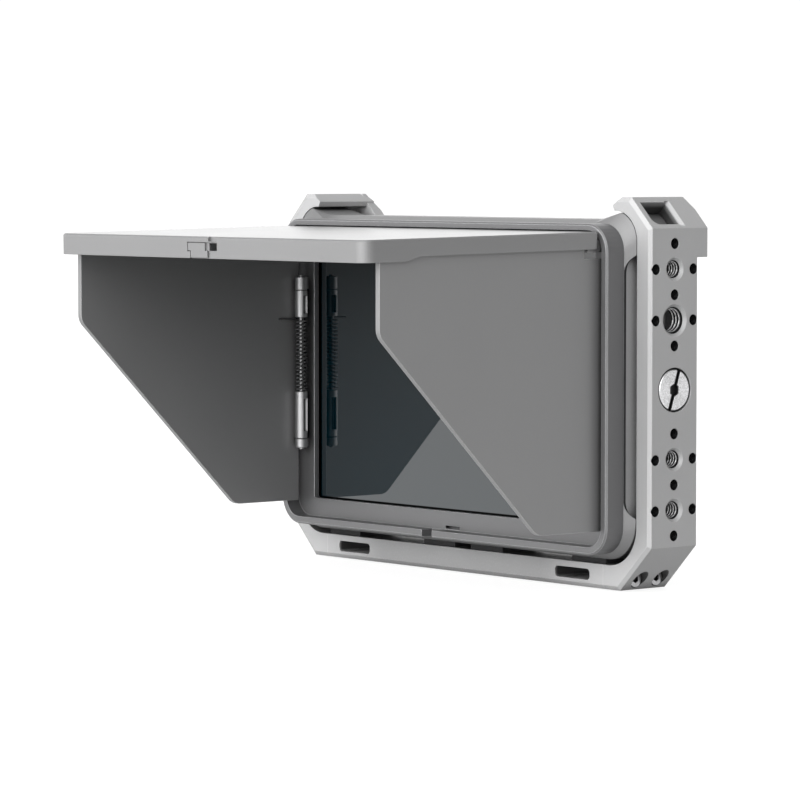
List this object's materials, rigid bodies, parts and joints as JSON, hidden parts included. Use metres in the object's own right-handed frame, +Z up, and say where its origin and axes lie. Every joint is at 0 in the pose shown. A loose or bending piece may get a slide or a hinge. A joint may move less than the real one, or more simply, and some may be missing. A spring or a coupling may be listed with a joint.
{
  "type": "camera field monitor with sun hood",
  "caption": "Flat camera-top monitor in a metal cage with strap hooks and accessory threads, and a folding sun hood with a top lid and two sprung side flaps.",
  "frame": {"origin": "mouth of the tripod thread in the middle of the underside of the bottom bar", "axes": "+X along the screen, towards the arm at the viewer's right; +Y away from the viewer; +Z up"},
  "size_m": [0.2052, 0.1495, 0.1393],
  "materials": {
    "cage_alloy": "bead-blasted anodised grey",
    "frame_alloy": "fine matt anodised grey",
    "lid_alloy": "fine matt anodised light grey",
    "flap_alloy": "matt dark grey coating",
    "hinge_steel": "bright turned steel",
    "screw_steel": "satin nickel",
    "spring_steel": "black oxide",
    "housing_alloy": "satin dark grey",
    "black_plastic": "fine textured black",
    "rubber_black": "matt",
    "screen_glass": "glossy mirror-like",
    "panel_black": "dark panel",
    "light_white": "white diffuser",
    "board_green": "solder mask",
    "contact_gold": "plated",
    "button_red": "satin"
  },
  "bodies": {
    "cage": {"bottom_bar": "cage_alloy", "right_arm": "cage_alloy", "left_arm": "cage_alloy", "corner_screws": "screw_steel", "disc_screws": "screw_steel", "bar_pads": "rubber_black", "hood_frame": "frame_alloy", "lid_brackets": "frame_alloy", "lid_pins": "hinge_steel", "left_knuckles": "hinge_steel", "right_knuckles": "hinge_steel", "left_pin": "hinge_steel", "right_pin": "hinge_steel", "housing": "housing_alloy", "cover_glass": "screen_glass", "display_panel": "panel_black", "backlight": "light_white", "main_board": "board_green", "rear_cover": "black_plastic", "cover_screws": "screw_steel", "battery_plate": "black_plastic", "battery_contacts": "contact_gold", "video_sockets": "screw_steel", "power_socket": "black_plastic"},
    "lid": {"lid": "lid_alloy"},
    "latch": {"lid_latch": "lid_alloy"},
    "left_flap": {"left_flap": "flap_alloy", "left_sleeves": "hinge_steel", "left_spring": "spring_steel"},
    "right_flap": {"right_flap": "flap_alloy", "right_sleeves": "hinge_steel", "right_spring": "spring_steel"},
    "release": {"battery_release": "button_red"},
    "button": {"power_button": "black_plastic"}
  },
  "joints": [
    {"name": "lid_tilt", "type": "hinge", "parent": "cage", "child": "lid", "pos_m": [0, -0.02367, 0.12225], "axis": [-1, 0, 0], "range_deg": [0, 15]},
    {"name": "left_flap_fold", "type": "hinge", "parent": "cage", "child": "left_flap", "pos_m": [-0.0823, -0.0213, 0.07155], "axis": [0, 0, 1], "range_deg": [0, 90], "stiffness_Nm_per_rad": 0.012, "springref_deg": -28.65},
    {"name": "right_flap_fold", "type": "hinge", "parent": "cage", "child": "right_flap", "pos_m": [0.0831, -0.0197, 0.07155], "axis": [0, 0, -1], "range_deg": [0, 90], "stiffness_Nm_per_rad": 0.012, "springref_deg": -28.65},
    {"name": "latch_slide", "type": "slide", "parent": "lid", "child": "latch", "axis": [1, 0, 0], "range_m": [0, 0.0016], "stiffness_N_per_m": 200},
    {"name": "release_slide", "type": "slide", "parent": "cage", "child": "release", "axis": [0, 0, -1], "range_m": [0, 0.002], "stiffness_N_per_m": 300, "springref_m": -0.001},
    {"name": "button_press", "type": "slide", "parent": "cage", "child": "button", "axis": [0, -1, 0], "range_m": [0, 0.0006], "stiffness_N_per_m": 500, "springref_m": -0.0005}
  ]
}
